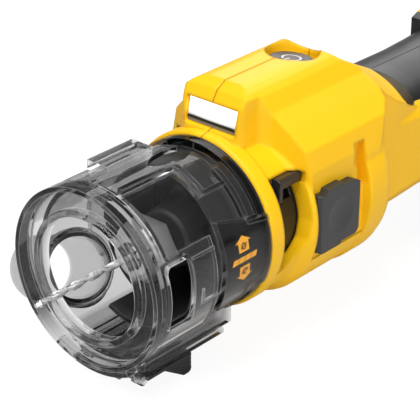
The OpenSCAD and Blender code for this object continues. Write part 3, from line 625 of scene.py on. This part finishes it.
class CUTOUT_OT_bit(bpy.types.Operator):
    """Makes the spiral bit in the collet"""
    bl_idname = "cutout.bit"
    bl_label = "Spiral bit"

    def execute(self, context):
        sizes = context.scene.cutout_sizes
        front, back = node_box("cutting_bit")[:, 0]
        # Stations along the bit: guide point, its shoulder, flutes with their run-out, shank
        neck, shoulder, body, full = front + 0.25, front + 2.1, front + 2.4, front + 3.2
        run_out, end = 14.0, 18.5
        x = np.concatenate([[front, neck, shoulder, body], np.linspace(front + 2.7, end, 190),
                            np.linspace(19, back, 12)])
        angle = np.linspace(0, 2 * math.pi, 72, endpoint=False)
        # Radius = plain radius less the flute, whose depth dies out at both ends. The flute
        # is a hollow that starts steeply behind each cutting edge and rises slowly to the
        # next land, and it turns along the bit. There are two of them in a turn.
        deepest, land, steepness = 0.56, 0.24, 0.62
        plain = np.interp(x, [front, neck, shoulder, body], [0.42, 0.6, 0.62, 1.0])
        depth = deepest * np.interp(x, [body, full, run_out, end], [0, 1, 1, 0])
        turned = 2 * math.pi * sizes.flute_turns * (x[:, None] - front) / (end - front)
        share = ((angle[None, :] - turned) / math.pi) % 1.0
        across = np.clip((share - land) / (1 - land), 0, 1)
        hollow = np.where(share < land, 0, np.sin(math.pi * across ** steepness))
        r = sizes.bit_radius / MM * plain[:, None] * (1 - depth[:, None] * hollow)
        points = grid(x[:, None], r * np.cos(angle), r * np.sin(angle)).reshape(-1, 3)
        piece = make_piece("spiral_bit", points, tube_faces(*r.shape), FINISHES["bit"],
                           "spindle_group", "steel")
        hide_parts("cutting_bit")
        return {"FINISHED"}


class CUTOUT_OT_guard(bpy.types.Operator):
    """Makes the guard inside the shroud, cut back where the nut shows"""
    bl_idname = "cutout.guard"
    bl_label = "Inner guard"

    def execute(self, context):
        low, high = node_box("inner_guard")
        outer, wall = (high[2] - low[2]) / 2, 2.0
        # Tube whose front edge is a function of the angle round the spindle: behind the nut
        # at the sides and on top, far forward at the bottom, and a smooth step between them
        behind_nut, step_from, step_to = 46, 222, 238
        turn = np.concatenate([np.linspace(-64, step_from, 120), np.linspace(222.5, step_to, 24),
                               np.linspace(239, 295.98, 40)])
        step = np.clip((turn - step_from) / (step_to - step_from), 0, 1)
        front = behind_nut + (low[0] - behind_nut) * step * step * (3 - 2 * step)
        x = front[:, None] + (high[0] - front[:, None]) * np.linspace(0, 1, 8)
        a = np.radians(turn)[:, None]
        sides = [grid(x, r * np.cos(a), r * np.sin(a)) for r in (outer, outer - wall)]
        piece = make_piece("bowl_guard", *slab(*sides, round_rows=True), FINISHES["nose"],
                           "tool", "nose")
        edges = piece.modifiers.new("Edges", "BEVEL")
        edges.width, edges.segments = 0.4 * MM, 2
        edges.limit_method, edges.angle_limit = "ANGLE", math.radians(50)
        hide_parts("inner_guard")
        return {"FINISHED"}


class CUTOUT_OT_collar_marks(bpy.types.Operator):
    """Makes the lock arrows and the bit mark on the collar"""
    bl_idname = "cutout.collar_marks"
    bl_label = "Collar marks"

    def execute(self, context):
        lift = context.scene.cutout_sizes.mark_lift / MM
        radius, sunk = 39.8, 0.02
        middle, centre = 53.0, 122.2

        def plate(x, s, height):
            """Plate bent round the thumb panel, from places along it and round it"""
            a = s / radius
            levels = (radius + height, radius - sunk)
            return slab(*(grid(x, r * np.cos(a), r * np.sin(a)) for r in levels))

        # Arrow: half width as a function of the height, a roof and then a straight body. v
        # runs down from the tip and u across.
        v = np.array([0, 0.02, 0.2, 0.399, 0.4, 0.6, 0.8, 1.0])
        half = np.interp(v, [0, 0.399, 0.4, 1.0], [0.05, 4.7, 3.1, 3.1])
        u = np.linspace(-1, 1, 9)[:, None]
        tip, height, sign_at = 10.1, 6.9, 5.6
        # Lock sign in the arrow: an arc of a ring and a slanted bar across it
        gap, turned = 0.3, 0.5
        r = np.array([0.95, 1.5])[:, None]
        bar_x, bar_s = np.linspace(-1.9, 1.9, 5)[:, None], np.linspace(0.9, -0.9, 5)[:, None]
        bar_half = np.array([-0.28, 0.28])
        marks, signs = [], []
        for way in (-1, 1):
            marks.append(plate(middle + u * half, centre + way * (tip - height * v), lift))
            a = np.linspace(gap, 2 * math.pi - gap, 33) + way * turned
            s = centre + way * sign_at
            signs.append(plate(middle + r * np.cos(a), s + r * np.sin(a), 1.6 * lift))
            signs.append(plate(middle + bar_x, s + bar_s + bar_half, 2.0 * lift))
        # Bit mark: slanted bands side by side, wide ones and thin ones between them. Places
        # along the panel run across each band and lean back as they go round the panel.
        first, last, pitch, wide, lean, reach = 45.2, 60.8, 3.95, 2.75, 1.1, 1.2
        v = np.linspace(0, 1, 4)
        wide_bands = (4, np.linspace(0, wide, 4), lift)
        thin_bands = (3, np.linspace(wide + 0.25, wide + 0.95, 3), 0.6 * lift)
        for count, across, up in (wide_bands, thin_bands):
            slanted = across[:, None] + lean * (1 - v)
            for k in range(count):
                x = np.clip(first + pitch * k + slanted, first, last)
                marks.append(plate(x, centre + reach * (2 * v - 1), up))
        make_piece("collar_marks", *joined(marks), FINISHES["marks"], "shroud", "clear_shroud",
                   smooth=False)
        make_piece("collar_signs", *joined(signs), FINISHES["ink"], "shroud", "clear_shroud",
                   smooth=False)
        return {"FINISHED"}


class CUTOUT_OT_power_sign(bpy.types.Operator):
    """Fills the engraved power sign on the round button"""
    bl_idname = "cutout.power_sign"
    bl_label = "Power sign"

    def execute(self, context):
        stroke = context.scene.cutout_sizes.sign_stroke / MM
        tilt, top, bottom = math.radians(8), -0.06, -0.34
        centre = np.array([130.7, 0, 56.4])
        along = np.array([math.cos(tilt), 0, -math.sin(tilt)])
        side = np.array([0, 1, 0])
        out = np.array([math.sin(tilt), 0, math.cos(tilt)])

        def plate(u, v):
            """Plate in the tilted top of the button, from places along and across it"""
            flat = centre + u[..., None] * along + v[..., None] * side
            return slab(flat + top * out, flat + bottom * out)

        # Open ring: an arc with a gap of 3.2 mm to the front; the stroke runs into the gap
        gap = math.asin(1.6 / 4.0)
        a = np.linspace(math.pi + gap, 3 * math.pi - gap, 60)
        r = np.linspace(3.52, 4.58, 3)[:, None]
        ring = plate(r * np.cos(a), r * np.sin(a))
        line = plate(*np.meshgrid(np.linspace(-5.38, -1.42, 6),
                                  np.linspace(-stroke / 2, stroke / 2, 3), indexing="ij"))
        make_piece("power_sign", *joined([ring, line]), FINISHES["sign"], "power_key", "button",
                   smooth=False)
        return {"FINISHED"}


class CUTOUT_OT_lamp_trim(bpy.types.Operator):
    """Makes the dark sill under the lamp window and the pin mark on the deck"""
    bl_idname = "cutout.lamp_trim"
    bl_label = "Lamp trim"

    def execute(self, context):
        # Sill: a half round bead, its section carried along Y and drawn in at the ends
        a = np.linspace(0, math.pi, 9)
        y = np.concatenate([[-13.0], np.linspace(-12.8, 12.8, 24), [13.0]])[:, None]
        swell = np.concatenate([[0.6], np.ones(24), [0.6]])[:, None]
        back_x, middle_x, middle_z = 77.6, 77.45, 43.1
        bulge, half_height = 0.45, 0.75
        x = middle_x - bulge * swell * np.sin(a)
        z = middle_z + half_height * swell * np.cos(a)
        make_piece("lamp_sill", *slab(grid(x, y, z), grid(back_x, y, z)), FINISHES["gloss"],
                   "tool", "lens")
        # Pin mark: a low dome with a dimple, its heights h at the radii r turned round the
        # normal of the deck
        place = np.array([156.6, 0, 48.74])
        normal = np.array([7.7, 0, 13.0])
        normal /= np.linalg.norm(normal)
        side = np.array([0, 1.0, 0])
        r = np.array([0.02, 0.35, 0.6, 0.75, 0.85])[:, None, None]
        h = np.array([-0.02, 0.0, 0.1, 0.08, -0.1])[:, None, None]
        b = np.linspace(0, 2 * math.pi, 24, endpoint=False)[:, None]
        ring = np.cos(b) * side + np.sin(b) * np.cross(normal, side)
        points = place + r * ring + h * normal
        make_piece("pin_mark", points.reshape(-1, 3), tube_faces(*points.shape[:2]),
                   FINISHES["pin"], "tool", "yellow")
        return {"FINISHED"}


class CUTOUT_OT_stage(bpy.types.Operator):
    """Makes the floor, the lamps, the world and the camera"""
    bl_idname = "cutout.stage"
    bl_label = "Stage"

    def execute(self, context):
        self.make_floor(context.scene)
        self.make_world(context.scene)
        self.make_lamp(context.scene, "Key lamp", (-0.45, -0.1, 1.1), (0.7, 0.7), 13)
        self.make_lamp(context.scene, "Left lamp", (-0.5, -1.1, 0.5), (0.5, 0.7), 6)
        self.make_lamp(context.scene, "Rear lamp", (0.9, 0.3, 0.65), (1.0, 0.6), 6)
        self.make_camera(context.scene)
        context.scene.view_settings.view_transform = "Standard"
        return {"FINISHED"}

    def make_floor(self, scene):
        """Pale floor, mostly white to the camera and to what is seen through the plastic"""
        side = 3.0
        mesh = bpy.data.meshes.new("floor")
        corners = [(-side, -side, 0), (side, -side, 0), (side, side, 0), (-side, side, 0)]
        mesh.from_pydata(corners, [], [(0, 1, 2, 3)])
        floor = bpy.data.objects.new("floor", mesh)
        scene.collection.objects.link(floor)
        material, tree, shader, out = shader_parts("Floor")
        shader.inputs["Roughness"].default_value = 0.9
        shader.inputs["Specular IOR Level"].default_value = 0.1
        cloud = noise(tree, object_place(tree), 3.0)
        tree.links.new(shade_mix(tree, cloud, grey(0.6), grey(0.62)), shader.inputs["Base Color"])
        white = tree.nodes.new("ShaderNodeEmission")
        white.inputs["Strength"].default_value = 1.15
        share = math_node(tree, "MULTIPLY", sight_rays(tree), 0.8)
        mix_shaders(tree, share, shader, white, out)
        mesh.materials.append(material)

    def make_world(self, scene):
        """Soft light from all sides, white to the camera and to what is seen through"""
        scene.world = bpy.data.worlds.new("World")
        scene.world.use_nodes = True
        tree = scene.world.node_tree
        tree.nodes.clear()
        light, seen = (tree.nodes.new("ShaderNodeBackground") for _ in range(2))
        for sky, strength in ((light, 0.2), (seen, 1.0)):
            feed(tree, grey(1), sky.inputs["Color"])
            sky.inputs["Strength"].default_value = strength
        mix_shaders(tree, sight_rays(tree), light, seen, tree.nodes.new("ShaderNodeOutputWorld"))

    def make_lamp(self, scene, name, place, size, power):
        """Area lamp that faces the middle of the tool"""
        data = bpy.data.lights.new(name, "AREA")
        data.shape = "RECTANGLE"
        data.size, data.size_y = size
        data.energy = power
        lamp = bpy.data.objects.new(name, data)
        lamp.location = place
        middle = Vector((-0.05, 0, 0.05))
        lamp.rotation_euler = (middle - Vector(place)).to_track_quat("-Z", "Y").to_euler()
        scene.collection.objects.link(lamp)

    def make_camera(self, scene):
        """The camera solved from the photograph, in the spindle's frame"""
        right = Vector((0.65752641, -0.75342629, 0.00279942))
        up = Vector((0.34029367, 0.30029027, 0.89108135))
        back = Vector((-0.67220476, -0.5849569, 0.45383498))
        place = Vector(spots((-441.85, -451.32, 354.5)))
        focal_pixels, image_pixels = 1800, 420
        data = bpy.data.cameras.new("Camera")
        data.sensor_fit = "HORIZONTAL"
        data.sensor_width = 36.0
        data.lens = focal_pixels * 36.0 / image_pixels
        data.clip_start, data.clip_end = 0.01, 20
        camera = bpy.data.objects.new("Camera", data)
        turn = Matrix((right, up, back)).transposed().to_4x4()
        camera.matrix_world = Matrix.Translation(place) @ turn
        scene.collection.objects.link(camera)
        scene.camera = camera


class CUTOUT_PT_panel(bpy.types.Panel):
    """Lists the steps that dress the tool"""
    bl_idname = "CUTOUT_PT_panel"
    bl_label = "Cut Out Tool"
    bl_space_type = "VIEW_3D"
    bl_region_type = "UI"
    bl_category = "Cut Out Tool"

    def draw(self, context):
        for group in (context.scene.cutout_sizes, context.scene.cutout_colours):
            for name in group.__annotations__:
                self.layout.prop(group, name)
        for operator in OPERATORS:
            self.layout.operator(operator.bl_idname)


OPERATORS = (CUTOUT_OT_stage, CUTOUT_OT_materials, CUTOUT_OT_bodywork, CUTOUT_OT_guard,
             CUTOUT_OT_bit, CUTOUT_OT_collar_marks, CUTOUT_OT_power_sign, CUTOUT_OT_lamp_trim)
CLASSES = (CutOutToolSizes, CutOutToolColours, *OPERATORS, CUTOUT_PT_panel)


def register():
    for cls in CLASSES:
        bpy.utils.register_class(cls)
    bpy.types.Scene.cutout_sizes = bpy.props.PointerProperty(type=CutOutToolSizes)
    bpy.types.Scene.cutout_colours = bpy.props.PointerProperty(type=CutOutToolColours)


def unregister():
    del bpy.types.Scene.cutout_colours
    del bpy.types.Scene.cutout_sizes
    for cls in reversed(CLASSES):
        bpy.utils.unregister_class(cls)


def main():
    register()
    for operator in OPERATORS:
        group, name = operator.bl_idname.split(".")
        getattr(getattr(bpy.ops, group), name)()


if __name__ == "__main__":
    main()
